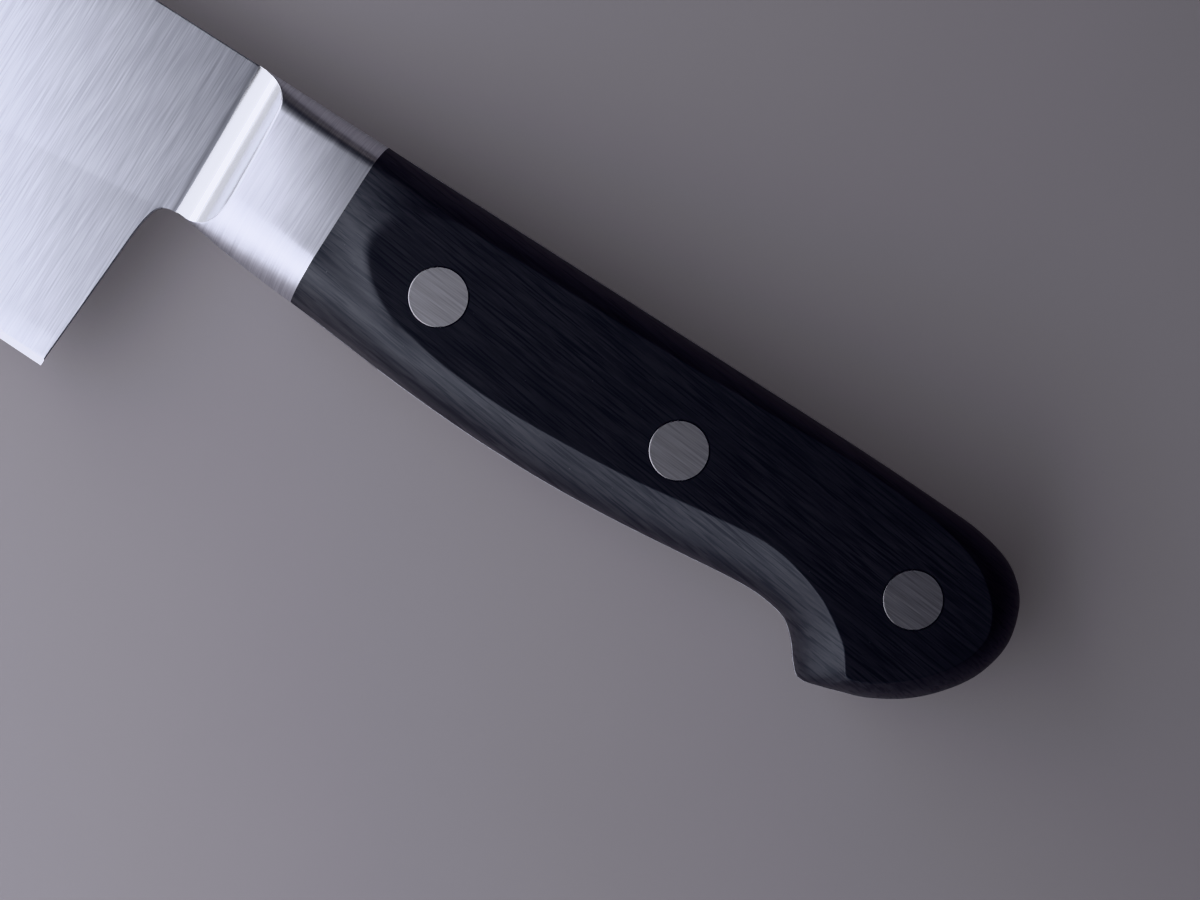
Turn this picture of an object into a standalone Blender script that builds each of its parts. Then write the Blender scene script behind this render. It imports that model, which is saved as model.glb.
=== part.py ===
"""Chef knife, 240 mm: full-tang steel blade, welded bolster, riveted handle.

The knife lies on its right side.  X runs toward the tip, Y from the spine
toward the cutting edge, Z up through the thickness.  The outline is laid out
in millimetres from the joint between bolster and handle (x = 0), with y = 0
on the spine and z = 0 on the middle plane of the steel.
"""
import math

import bmesh
import bpy

MM = 0.001
GAP = 0.3

# Overall size
TIP_X = 263.45
BUTT_X = -103.95
HEEL_Y = 48.95
HANDLE_HALF = 9.0
TANG_HALF = 1.1

# Steel blank: half thickness over the flat cheek of the blade
CHEEK_DROP_Y = 0.0187
CHEEK_DROP_X = 0.001
GRIND_START_X = 21.05
GRIND_END_X = 14.0
FLAT_GRIND_X = 173.45
TIP_SPINE_HALF = 0.42
EDGE_SHOULDER_HALF = 0.16
BEVEL_WIDTH = 1.0

# Cutting edge and spine toward the tip
HEEL_X = 23.45
EDGE_POINTS = [
    (23.45, 48.95), (43.0, 48.55), (73.0, 47.7), (103.0, 46.3), (133.0, 44.2),
    (163.0, 41.1), (188.0, 37.2), (213.0, 31.5), (233.0, 25.0), (248.0, 18.1),
    (257.0, 12.2), (263.45, 6.3),
]
SPINE_POINTS = [
    (173.45, 0.0), (190.0, 0.15), (210.0, 0.8), (230.0, 2.1), (248.0, 3.9), (263.45, 6.3),
]
EDGE_STATIONS = [43.0, 73.0, 103.0, 133.0, 155.0]
TIP_STATIONS = [173.45, 188.0, 200.0, 212.0, 223.0, 232.0, 240.0, 247.0, 253.0, 257.5, 261.0, 262.8]

# Choil from the shoulder of the cutting edge up to the neck, then the underside
# of neck and bolster back to the handle joint
CHOIL_POINTS = [
    (23.2, 44.0), (23.0, 40.0), (22.8, 36.0), (22.6, 32.0), (22.4, 28.0), (22.22, 26.0),
    (22.05, 25.0), (21.8, 24.0), (21.5, 23.35),
]
UNDERSIDE_POINTS = [
    (21.05, 22.8), (20.5, 22.5), (20.0, 22.36), (19.2, 22.28), (18.0, 22.34), (17.0, 22.42),
    (16.0, 22.52), (15.0, 22.66), (14.0, 22.8), (12.0, 23.08), (10.0, 23.33), (7.0, 23.62), (3.5, 23.92), (0.0, 24.13),
]

# Bolster
BOLSTER_REAR_HALF = 7.0
BOLSTER_FRONT_X = 13.0
BOLSTER_TAPER = 0.10
BOLSTER_TAPER_GAIN = 0.0045
BOLSTER_CROWN = 0.005
BOLSTER_CROWN_Y = 12.0
BOLSTER_SPINE_ROUND = 3.9
BOLSTER_BELLY_ROUND = 8.6
ROUND_START = 0.68
FILLET_TOE_X = 20.2
FILLET_SLANT = 0.043
FILLET_RADIUS = 9.5
FILLET_START = math.radians(8.0)

# Handle: where the front ramp ends, and the outline with the crease of the
# flat side, as rows of outline x, y and crease x, y, from the spine round the
# butt and the hook to the belly.  The last two numbers shape the rounding:
# how far it runs before it turns down, and how flat it leaves the crease.
RAMP_X = -14.4
HANDLE_ROWS = [
    (-14.4, 0.0, -14.4, 3.65, 0.50, 0.88),
    (-30.0, 0.0, -30.0, 3.4, 0.50, 0.88),
    (-45.0, 0.0, -45.0, 3.2, 0.50, 0.88),
    (-60.0, 0.0, -59.8, 2.7, 0.50, 0.88),
    (-75.0, 0.05, -74.0, 2.2, 0.50, 0.88),
    (-87.7, 0.36, -85.0, 2.7, 0.55, 0.84),
    (-93.0, 0.7, -90.0, 3.5, 0.58, 0.80),
    (-98.3, 2.1, -94.9, 5.2, 0.58, 0.78),
    (-101.8, 4.9, -98.2, 7.8, 0.58, 0.78),
    (-103.5, 8.6, -99.9, 10.4, 0.58, 0.78),
    (-103.95, 12.2, -100.35, 12.8, 0.58, 0.78),
    (-102.9, 16.6, -99.6, 15.9, 0.58, 0.78),
    (-100.7, 20.3, -97.7, 19.0, 0.58, 0.78),
    (-97.1, 24.1, -94.7, 22.2, 0.58, 0.78),
    (-92.2, 27.2, -91.2, 24.9, 0.58, 0.78),
    (-88.0, 28.7, -88.9, 26.1, 0.58, 0.78),
    (-85.5, 29.45, -87.4, 26.2, 0.60, 0.72),
    (-83.9, 29.9, -86.9, 25.4, 0.64, 0.66),
    (-82.9, 29.85, -86.3, 24.5, 0.68, 0.62),
    (-82.2, 29.35, -85.5, 23.4, 0.70, 0.60),
    (-81.1, 28.1, -84.2, 22.3, 0.70, 0.60),
    (-79.6, 26.2, -82.1, 20.9, 0.70, 0.60),
    (-77.3, 24.3, -79.4, 19.4, 0.70, 0.60),
    (-74.5, 23.6, -76.1, 18.25, 0.70, 0.60),
    (-71.3, 23.4, -72.4, 17.4, 0.70, 0.60),
    (-67.5, 23.65, -68.2, 17.2, 0.70, 0.60),
    (-60.0, 24.5, -60.0, 18.2, 0.70, 0.60),
    (-50.3, 25.5, -50.2, 19.6, 0.70, 0.60),
    (-41.0, 26.1, -41.0, 20.4, 0.70, 0.60),
    (-31.0, 26.25, -31.0, 20.8, 0.70, 0.68),
    (-22.0, 25.95, -22.0, 20.3, 0.70, 0.80),
    (-14.4, 25.45, -14.4, 19.0, 0.70, 0.90),
]
# Front edge of the flat side, from the spine to the belly
RAMP_CREASE = [
    (-14.4, 3.65), (-11.6, 4.5), (-9.4, 5.7), (-7.5, 7.6), (-6.3, 9.8), (-5.9, 12.0),
    (-6.7, 14.0), (-8.2, 15.6), (-10.0, 17.0), (-12.1, 18.1), (-14.4, 19.0),
]

# Rivets
RIVET_X = {"front": -16.6, "middle": -53.6, "rear": -89.6}
RIVET_Y = 13.15
HEAD_RADIUS = 4.0
HEAD_DEPTH = 1.5
HEAD_CHAMFER = 0.1
TUBE_RADIUS = 2.6
BORE_RADIUS = 1.9
SHANK_RADIUS = 1.6

ROUND_STEPS = 6


def clear_scene():
    for item in list(bpy.data.objects):
        bpy.data.objects.remove(item, do_unlink=True)
    for mesh in list(bpy.data.meshes):
        bpy.data.meshes.remove(mesh)


def make_collection(name):
    collection = bpy.data.collections.new(name)
    bpy.context.scene.collection.children.link(collection)
    return collection


def make_material(name, color, metallic, roughness):
    material = bpy.data.materials.new(name)
    material.use_nodes = True
    shader = material.node_tree.nodes["Principled BSDF"]
    shader.inputs["Base Color"].default_value = (*color, 1.0)
    shader.inputs["Metallic"].default_value = metallic
    shader.inputs["Roughness"].default_value = roughness
    return material


def add_object(name, bm, collection, parent, material=None):
    """Turn a finished bmesh into a smooth-shaded object under the parent."""
    bmesh.ops.remove_doubles(bm, verts=bm.verts, dist=0.001 * MM)
    bmesh.ops.recalc_face_normals(bm, faces=bm.faces)
    mesh = bpy.data.meshes.new(name)
    bm.to_mesh(mesh)
    bm.free()
    mesh.shade_smooth()
    mesh.set_sharp_from_angle(angle=math.radians(28))
    obj = bpy.data.objects.new(name, mesh)
    if material:
        mesh.materials.append(material)
    collection.objects.link(obj)
    obj.parent = parent
    return obj


def spline(points, spacing):
    """Smooth curve through rows of numbers; its pace is the first two."""
    pace = [0.0]
    for a, b in zip(points, points[1:]):
        pace.append(pace[-1] + math.dist(a[:2], b[:2]))
    slopes = []
    for i in range(len(points)):
        lo = max(i - 1, 0)
        hi = min(i + 1, len(points) - 1)
        span = pace[hi] - pace[lo]
        slopes.append([(q - p) / span for p, q in zip(points[lo], points[hi])])
    curve = []
    for i in range(len(points) - 1):
        length = pace[i + 1] - pace[i]
        count = max(1, round(length / spacing))
        for step in range(count):
            t = step / count
            near = (1 + 2 * t) * (1 - t) ** 2
            far = t * t * (3 - 2 * t)
            out = t * (1 - t) ** 2 * length
            back = t * t * (t - 1) * length
            row = zip(points[i], points[i + 1], slopes[i], slopes[i + 1])
            curve.append(tuple(near * a + far * b + out * c + back * d for a, b, c, d in row))
    curve.append(tuple(points[-1]))
    return curve


def value_at(points, x):
    """Y of a smooth curve at a given X; X runs one way along the points."""
    curve = spline(points, 1.0)
    for a, b in zip(curve, curve[1:]):
        if min(a[0], b[0]) <= x <= max(a[0], b[0]):
            t = (x - a[0]) / (b[0] - a[0])
            return a[1] + (b[1] - a[1]) * t
    return curve[-1][1]


def mix(a, b, t):
    return a + (b - a) * t


def new_vert(bm, x, y, z):
    return bm.verts.new((x * MM, y * MM, z * MM))


def new_face(bm, corners):
    """Face through the corners, skipping those that fall on one another."""
    kept = []
    for vert in corners:
        if not any((vert.co - other.co).length < 0.001 * MM for other in kept):
            kept.append(vert)
    if len(kept) > 2:
        bm.faces.new(kept)


def skin(bm, lines):
    """Quads between neighbouring lines of vertices."""
    for a, b in zip(lines, lines[1:]):
        for i in range(len(a) - 1):
            new_face(bm, [a[i], a[i + 1], b[i + 1], b[i]])


def flip(bm, side):
    """The left half is modelled upward; the right half is its mirror image."""
    if side < 0:
        bmesh.ops.scale(bm, vec=(1.0, 1.0, -1.0), verts=bm.verts)


def cheek_half(x, y):
    """Half thickness of the flat-ground blade."""
    return TANG_HALF - CHEEK_DROP_Y * y - CHEEK_DROP_X * max(0.0, x - GRIND_START_X)


def steel_half(x, y):
    """Half thickness of the blank from the blade into the tang."""
    t = (x - GRIND_END_X) / (GRIND_START_X - GRIND_END_X)
    return mix(TANG_HALF, cheek_half(x, y), min(max(t, 0.0), 1.0))


def rounding(s, start, height):
    """Rounding between crease (s = 0) and outline (s = 1).

    Returns the share of the width and of the height at s.
    """
    side = 3 * start * s * (1 - s) ** 2 + 3 * s * s * (1 - s) + s ** 3
    drop = (1 - s) ** 3 + 3 * height * s * (1 - s) ** 2 + 3 * 0.42 * s * s * (1 - s)
    return side, drop


def rounded_line(bm, outer, crease, base, shape, steps):
    """Vertices from the crease down to the outline."""
    line = []
    for j in range(steps + 1):
        side, drop = rounding(j / steps, *shape)
        x = mix(crease[0], outer[0], side)
        y = mix(crease[1], outer[1], side)
        line.append(new_vert(bm, x, y, mix(base, crease[2], drop)))
    return line


def tang_outline():
    """Handle outline from the ramp at the spine round to the ramp at the belly."""
    return [(row[0], row[1]) for row in spline(HANDLE_ROWS, 4.0)]


def build_blade(collection, parent, material):
    """Blade and tang in one blank: the upper half, mirrored to the lower."""
    bm = bmesh.new()

    def rim(x, y, half):
        return new_vert(bm, x, y, half), new_vert(bm, x, y, 0.0)

    # Cutting edge and the shoulder of its bevel, heel to tip
    edge_x = [HEEL_X] + EDGE_STATIONS + TIP_STATIONS
    edge_line = [(x, value_at(EDGE_POINTS, x)) for x in edge_x]
    shoulders = []
    for i, (x, y) in enumerate(edge_line):
        ahead = edge_line[i + 1] if i + 1 < len(edge_line) else EDGE_POINTS[-1]
        behind = edge_line[max(i - 1, 0)]
        run = math.dist(ahead, behind)
        width = BEVEL_WIDTH * min(1.0, (TIP_X - x + 4.0) / 20.0)
        sx = x + width * (ahead[1] - behind[1]) / run
        sy = y - width * (ahead[0] - behind[0]) / run
        if i == 0:
            sx = x - 0.05 * width
        toward_tip = max(0.0, (x - FLAT_GRIND_X) / (TIP_X - FLAT_GRIND_X))
        half = mix(cheek_half(min(sx, FLAT_GRIND_X), sy), EDGE_SHOULDER_HALF, min(1.0, 2 * toward_tip))
        shoulders.append((sx, sy, half))
    edge = [new_vert(bm, x, y, 0.0) for x, y in edge_line]
    shoulder = [new_vert(bm, *point) for point in shoulders]
    tip = new_vert(bm, *EDGE_POINTS[-1], 0.0)
    skin(bm, [shoulder + [tip], edge + [tip]])

    # Spine toward the tip
    spine = []
    first_tip = len(EDGE_STATIONS) + 1
    for x in TIP_STATIONS:
        t = (x - FLAT_GRIND_X) / (TIP_X - FLAT_GRIND_X)
        half = mix(cheek_half(FLAT_GRIND_X, 0.0), TIP_SPINE_HALF, t)
        spine.append(rim(x, value_at(SPINE_POINTS, x), half))
    skin(bm, [[pair[0] for pair in spine] + [tip], shoulder[first_tip:] + [tip]])
    skin(bm, [[pair[0] for pair in spine] + [tip], [pair[1] for pair in spine] + [tip]])

    # Flat cheek, with the choil and the neck
    neck_spine = rim(GRIND_START_X, 0.0, cheek_half(GRIND_START_X, 0.0))
    choil = [rim(x, y, cheek_half(x, y)) for x, y in CHOIL_POINTS + UNDERSIDE_POINTS[:1]]
    heel_foot = new_vert(bm, shoulders[0][0], shoulders[0][1], 0.0)
    cheek = [spine[0][0], neck_spine[0]] + [pair[0] for pair in reversed(choil)]
    new_face(bm, cheek + shoulder[:first_tip + 1])
    new_face(bm, [shoulder[0], edge[0], heel_foot])
    walls = [(shoulder[0], heel_foot)] + choil

    # The grind runs out under the bolster, where the tang takes over
    before = (neck_spine, choil[-1])
    grind = [point for point in UNDERSIDE_POINTS[1:] if point[0] >= GRIND_END_X]
    spine_walls = [spine[0], neck_spine]
    for x, y in grind:
        after = (rim(x, 0.0, steel_half(x, 0.0)), rim(x, y, steel_half(x, y)))
        new_face(bm, [before[0][0], after[0][0], after[1][0], before[1][0]])
        spine_walls.append(after[0])
        walls.append(after[1])
        before = after

    # Tang
    under = [point for point in UNDERSIDE_POINTS if point[0] < GRIND_END_X]
    belly = [rim(x, y, TANG_HALF) for x, y in under]
    handle = [rim(x, y, TANG_HALF) for x, y in tang_outline()]
    loop = [before[0]] + handle + belly[::-1] + [before[1]]
    new_face(bm, [pair[0] for pair in loop])
    ring = spine_walls + handle + belly[::-1] + walls[::-1]
    skin(bm, [[pair[0] for pair in ring], [pair[1] for pair in ring]])

    blade = add_object("blade", bm, collection, parent, material)
    mirror = blade.modifiers.new("lower_half", "MIRROR")
    mirror.use_axis = (False, False, True)
    mirror.use_clip = True
    mirror.merge_threshold = 0.00001
    return blade


def underside_y(x):
    return value_at(UNDERSIDE_POINTS, min(max(x, 0.0), UNDERSIDE_POINTS[0][0]))


def bolster_height(x, y):
    """Side of the bolster: tapering to the neck, lightly crowned to the spine."""
    taper = x * (BOLSTER_TAPER + BOLSTER_TAPER_GAIN * x)
    return BOLSTER_REAR_HALF - taper - BOLSTER_CROWN * max(0.0, BOLSTER_CROWN_Y - y) ** 2


def bolster_section(share, x):
    """Height and y of the bolster's side at one share of the way across."""
    zone, s = share
    lower = underside_y(x)
    if zone == "spine":
        side, drop = rounding(s, ROUND_START, 1.0)
        y = BOLSTER_SPINE_ROUND * (1 - side)
        height = bolster_height(x, BOLSTER_SPINE_ROUND)
        rim_y = 0.0
    elif zone == "belly":
        side, drop = rounding(s, ROUND_START, 1.0)
        y = lower - BOLSTER_BELLY_ROUND * (1 - side)
        height = bolster_height(x, lower - BOLSTER_BELLY_ROUND)
        rim_y = lower
    else:
        y = mix(BOLSTER_SPINE_ROUND, lower - BOLSTER_BELLY_ROUND, s)
        return bolster_height(x, y), y
    base = steel_half(x, rim_y) + GAP
    return mix(base, height, drop), y


def build_bolster(name, side, collection, parent, material):
    """One welded cheek of the bolster, running out in the concave neck fillet."""
    bm = bmesh.new()
    shares = [("spine", 1 - j / ROUND_STEPS) for j in range(ROUND_STEPS)]
    shares += [("flat", k / 6) for k in range(7)]
    shares += [("belly", (j + 1) / (ROUND_STEPS + 2)) for j in range(ROUND_STEPS + 2)]
    top_lines = []
    inner_lines = []
    for share in shares:
        edge_x = BOLSTER_FRONT_X
        for _ in range(12):
            height, y = bolster_section(share, edge_x)
            toe_x = FILLET_TOE_X - FILLET_SLANT * y
            rise = max(0.0, height - steel_half(toe_x, y) - GAP)
            turn = math.acos(math.cos(FILLET_START) - rise / FILLET_RADIUS)
            edge_x = toe_x - FILLET_RADIUS * (math.sin(turn) - math.sin(FILLET_START))
        top = []
        for step in range(5):
            x = edge_x * step / 4
            height, y = bolster_section(share, x)
            top.append((x, y, height))
        toe_base = steel_half(toe_x, bolster_section(share, toe_x)[1]) + GAP
        for step in range(1, 8):
            angle = mix(turn, FILLET_START, step / 7)
            x = toe_x - FILLET_RADIUS * (math.sin(angle) - math.sin(FILLET_START))
            y = bolster_section(share, x)[1]
            rise = FILLET_RADIUS * (math.cos(FILLET_START) - math.cos(angle))
            top.append((x, y, toe_base + rise))
        top_lines.append([new_vert(bm, x, y, max(z, steel_half(x, y) + GAP)) for x, y, z in top])
        inner_lines.append([new_vert(bm, x, y, steel_half(x, y) + GAP) for x, y, z in top])
    skin(bm, top_lines)
    skin(bm, inner_lines)
    new_face(bm, [line[0] for line in top_lines] + [line[0] for line in inner_lines[::-1]])
    flip(bm, side)
    return add_object(name, bm, collection, parent, material)


def ramp_height(t, y):
    """Front ramp, straight from the bolster and easing into the flat side."""
    share = 1.176 * t - 1.96 * max(0.0, t - 0.7) ** 2
    return mix(bolster_height(0.0, y), HANDLE_HALF, share)


def build_scale(name, side, collection, parent, material):
    """One handle scale: flat side, front ramp and the rounding all round it."""
    bm = bmesh.new()
    base = TANG_HALF + GAP
    columns = []
    for ox, oy, cx, cy, start, height in spline(HANDLE_ROWS, 4.0):
        shape = (start, height)
        columns.append(rounded_line(bm, (ox, oy), (cx, cy, HANDLE_HALF), base, shape, ROUND_STEPS))
    skin(bm, columns)

    # Ramp from the bolster joint up to the flat side
    joint_x = -GAP
    lower = UNDERSIDE_POINTS[-1][1]
    crease = spline(RAMP_CREASE, 1.6)
    first = HANDLE_ROWS[0]
    last = HANDLE_ROWS[-1]
    lines = []
    ramp_steps = 4
    for step in range(ramp_steps):
        t = step / ramp_steps
        x = mix(joint_x, RAMP_X, t)
        shape = (mix(ROUND_START, first[4], t), mix(1.0, first[5], t))
        height = ramp_height(t, BOLSTER_SPINE_ROUND)
        top = (x, mix(BOLSTER_SPINE_ROUND, first[3], t), height)
        line = rounded_line(bm, (x, 0.0), top, base, shape, ROUND_STEPS)[::-1]
        span = [(joint_x, mix(BOLSTER_SPINE_ROUND, lower - BOLSTER_BELLY_ROUND, k / (len(crease) - 1)))
                for k in range(len(crease))]
        for start, end in list(zip(span, crease))[1:-1]:
            height = ramp_height(t, start[1])
            line.append(new_vert(bm, mix(start[0], end[0], t), mix(start[1], end[1], t), height))
        shape = (mix(ROUND_START, last[4], t), mix(1.0, last[5], t))
        height = ramp_height(t, lower - BOLSTER_BELLY_ROUND)
        top = (x, mix(lower - BOLSTER_BELLY_ROUND, last[3], t), height)
        line += rounded_line(bm, (x, mix(lower, last[1], t)), top, base, shape, ROUND_STEPS)
        lines.append(line)
    flat_front = [new_vert(bm, x, y, HANDLE_HALF) for x, y in crease[1:-1]]
    lines.append(columns[0][::-1] + flat_front + columns[-1])
    skin(bm, lines)

    new_face(bm, flat_front[::-1] + [column[0] for column in columns])
    rim = [line[0] for line in lines[:-1]] + [column[-1] for column in columns]
    new_face(bm, rim + [line[-1] for line in lines[-2::-1]])
    new_face(bm, lines[0])
    flip(bm, side)
    return add_object(name, bm, collection, parent, material)


def turned(name, profile, location, collection, parent, material=None):
    """Body of revolution about Z from a profile that runs down its outer side."""
    mesh = bpy.data.meshes.new(name)
    points = [(r * MM, 0.0, z * MM) for r, z in profile]
    mesh.from_pydata(points, [(i, i + 1) for i in range(len(points) - 1)], [])
    obj = bpy.data.objects.new(name, mesh)
    if material:
        mesh.materials.append(material)
    collection.objects.link(obj)
    obj.parent = parent
    obj.location = (location[0] * MM, location[1] * MM, location[2] * MM)
    screw = obj.modifiers.new("turn", "SCREW")
    screw.axis = "Z"
    screw.angle = math.radians(360)
    screw.steps = 40
    screw.render_steps = 40
    screw.use_merge_vertices = True
    screw.merge_threshold = 0.00001
    screw.use_smooth_shade = False
    return obj


def rivet_profiles():
    """Male and female halves of a cutler's rivet, top to bottom."""
    head_floor = HANDLE_HALF - HEAD_DEPTH
    rim = HEAD_RADIUS - HEAD_CHAMFER
    bore_end = head_floor - 0.6
    female = [
        (0.0, HANDLE_HALF), (rim, HANDLE_HALF), (HEAD_RADIUS, HANDLE_HALF - HEAD_CHAMFER),
        (HEAD_RADIUS, head_floor), (TUBE_RADIUS, head_floor), (TUBE_RADIUS, -bore_end),
        (BORE_RADIUS, -bore_end), (BORE_RADIUS, bore_end), (0.0, bore_end),
    ]
    male = [
        (0.0, bore_end - GAP), (SHANK_RADIUS, bore_end - GAP), (SHANK_RADIUS, -head_floor),
        (HEAD_RADIUS, -head_floor), (HEAD_RADIUS, HEAD_CHAMFER - HANDLE_HALF),
        (rim, -HANDLE_HALF), (0.0, -HANDLE_HALF),
    ]
    return female, male


def cut(target, cutter):
    boolean = target.modifiers.new(cutter.name, "BOOLEAN")
    boolean.operation = "DIFFERENCE"
    boolean.solver = "EXACT"
    boolean.object = cutter


def main():
    clear_scene()
    parts = make_collection("chef_knife")
    cutters = make_collection("cutters")

    frame = bpy.data.objects.new("chef_knife_frame", None)
    frame.location = (-(TIP_X + BUTT_X) / 2 * MM, -HEEL_Y / 2 * MM, HANDLE_HALF * MM)
    parts.objects.link(frame)

    steel = make_material("blade_steel", (0.50, 0.50, 0.55), 1.0, 0.34)
    bolster_steel = make_material("bolster_steel", (0.56, 0.56, 0.60), 1.0, 0.28)
    rivet_steel = make_material("rivet_steel", (0.42, 0.41, 0.44), 1.0, 0.36)
    handle_wood = make_material("handle_wood", (0.010, 0.010, 0.014), 0.0, 0.42)

    blade = build_blade(parts, frame, steel)
    build_bolster("bolster_left", 1, parts, frame, bolster_steel.copy())
    build_bolster("bolster_right", -1, parts, frame, bolster_steel.copy())
    scale_left = build_scale("scale_left", 1, parts, frame, handle_wood.copy())
    scale_right = build_scale("scale_right", -1, parts, frame, handle_wood.copy())

    female, male = rivet_profiles()
    head_floor = HANDLE_HALF - HEAD_DEPTH - GAP
    bore = [
        (0.0, HANDLE_HALF + 1), (HEAD_RADIUS + GAP, HANDLE_HALF + 1),
        (HEAD_RADIUS + GAP, head_floor), (TUBE_RADIUS + GAP, head_floor),
        (TUBE_RADIUS + GAP, -head_floor), (HEAD_RADIUS + GAP, -head_floor),
        (HEAD_RADIUS + GAP, -HANDLE_HALF - 1), (0.0, -HANDLE_HALF - 1),
    ]
    for place, x in RIVET_X.items():
        centre = (x, RIVET_Y, 0.0)
        turned("rivet_" + place + "_female", female, centre, parts, frame, rivet_steel.copy())
        turned("rivet_" + place + "_male", male, centre, parts, frame, rivet_steel.copy())
        cutter = turned("bore_" + place, bore, centre, cutters, frame)
        cutter.hide_render = True
        cutter.display_type = "WIRE"
        for target in (blade, scale_left, scale_right):
            cut(target, cutter)


main()
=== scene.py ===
"""Chef knife: fine surface, materials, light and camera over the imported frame."""
import math

import bmesh
import bpy
from mathutils import Matrix, Vector


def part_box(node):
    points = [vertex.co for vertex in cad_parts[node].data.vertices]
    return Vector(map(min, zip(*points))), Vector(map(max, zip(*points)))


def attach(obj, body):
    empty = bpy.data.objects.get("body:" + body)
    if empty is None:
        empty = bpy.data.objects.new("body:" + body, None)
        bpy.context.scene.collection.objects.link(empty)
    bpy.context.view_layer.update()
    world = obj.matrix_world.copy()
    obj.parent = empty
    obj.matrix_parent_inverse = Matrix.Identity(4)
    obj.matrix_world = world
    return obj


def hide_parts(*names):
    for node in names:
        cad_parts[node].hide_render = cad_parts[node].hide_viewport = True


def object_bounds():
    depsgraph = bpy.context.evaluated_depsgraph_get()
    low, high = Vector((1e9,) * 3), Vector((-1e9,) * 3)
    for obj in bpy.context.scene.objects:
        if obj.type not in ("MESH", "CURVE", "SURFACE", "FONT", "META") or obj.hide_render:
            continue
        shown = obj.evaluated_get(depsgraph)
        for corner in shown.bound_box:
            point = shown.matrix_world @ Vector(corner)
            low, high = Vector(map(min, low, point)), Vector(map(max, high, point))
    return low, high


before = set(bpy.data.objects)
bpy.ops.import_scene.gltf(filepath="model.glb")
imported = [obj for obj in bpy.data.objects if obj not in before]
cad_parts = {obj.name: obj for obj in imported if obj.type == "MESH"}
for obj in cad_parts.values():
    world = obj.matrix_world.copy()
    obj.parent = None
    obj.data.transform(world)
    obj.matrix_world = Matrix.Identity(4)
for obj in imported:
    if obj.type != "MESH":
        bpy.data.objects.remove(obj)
cad_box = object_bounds()

# The knife's own axes, in millimetres: x from the joint between bolster and
# handle toward the tip, y from the spine toward the cutting edge, z from the
# middle plane of the steel.
MM = 0.001
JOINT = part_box("bolster_left")[0]
BLADE_LO, BLADE_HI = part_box("blade")
MID_Z = (BLADE_LO.z + BLADE_HI.z) / 2
TANG_HALF = (BLADE_HI.z - BLADE_LO.z) / 2 / MM
HANDLE_HALF = (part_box("scale_left")[1].z - MID_Z) / MM
TIP_X = (BLADE_HI.x - JOINT.x) / MM

# Steel blank: how its half thickness drops with each millimetre toward the edge
# and toward the tip, where the grind starts and where it runs out under the
# bolster, where the tip starts, and the bevel that makes the cutting edge
CHEEK_DROP_Y = 0.0187
CHEEK_DROP_X = 0.001
GRIND_START_X = 21.05
GRIND_END_X = 14.0
FLAT_GRIND_X = 173.45
TIP_SPINE_HALF = 0.42
EDGE_SHOULDER_HALF = 0.16
BEVEL_WIDTH = 1.0
BEVEL_TIP_RUN = 20.0
BEVEL_TIP_REST = 4.0
BEVEL_HEEL_LEAN = 0.05
HEEL_X = 23.45

# Cutting edge and spine toward the tip, the choil, and the underside of the neck
# and the bolster back to the handle joint
EDGE_POINTS = [
    (23.45, 48.95), (43.0, 48.55), (73.0, 47.7), (103.0, 46.3), (133.0, 44.2),
    (163.0, 41.1), (188.0, 37.2), (213.0, 31.5), (233.0, 25.0), (248.0, 18.1),
    (257.0, 12.2), (263.45, 6.3),
]
SPINE_POINTS = [
    (173.45, 0.0), (190.0, 0.15), (210.0, 0.8), (230.0, 2.1), (248.0, 3.9), (263.45, 6.3),
]
CHOIL_POINTS = [
    (23.4, 47.4), (23.2, 44.0), (23.0, 40.0), (22.8, 36.0), (22.6, 32.0), (22.4, 28.0),
    (22.22, 26.0), (22.05, 25.0), (21.8, 24.0), (21.5, 23.35), (21.05, 22.8),
]
UNDERSIDE_POINTS = [
    (21.05, 22.8), (20.5, 22.5), (20.0, 22.36), (19.2, 22.28), (18.0, 22.34), (17.0, 22.42),
    (16.0, 22.52), (15.0, 22.66), (14.0, 22.8), (12.0, 23.08), (10.0, 23.33), (7.0, 23.62),
    (3.5, 23.92), (0.0, 24.13),
]

# Stations along the cutting edge, the last one short of the tip, and the
# easing of the blank's edges, less along the tang
FLAT_STATIONS = 40
TIP_STATIONS = 40
TIP_GAP = 0.5
EDGE_EASE = 0.22
TANG_EASE_SHARE = 0.15

# How closely the curves are followed
LOOKUP_SPACING = 0.5
CHOIL_SPACING = 0.5
UNDERSIDE_SPACING = 0.7
HANDLE_SPACING = 0.8
CREASE_SPACING = 0.6

# Bolster: its half thickness, taper, crown and roundings, and the polished
# fillet whose toe lies on the blade
BOLSTER_REAR_HALF = 7.0
BOLSTER_FRONT_X = 13.0
BOLSTER_TAPER = 0.10
BOLSTER_TAPER_GAIN = 0.0045
BOLSTER_CROWN = 0.005
BOLSTER_CROWN_Y = 12.0
BOLSTER_SPINE_ROUND = 3.9
BOLSTER_BELLY_ROUND = 7.0
ROUND_START = 0.50
ROUND_WAIST = 0.92
FILLET_TOE_X = 20.2
FILLET_SLANT = 0.043
FILLET_RADIUS = 7.3
FILLET_START = math.radians(4.5)

# Shape of every rounding where it meets the outline
ROUND_END = 0.42

# Front ramp of the handle: how fast it rises, and how it eases into the flat side
RAMP_X = -14.4
RAMP_RISE = 1.176
RAMP_EASE = 1.96
RAMP_EASE_START = 0.7

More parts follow.
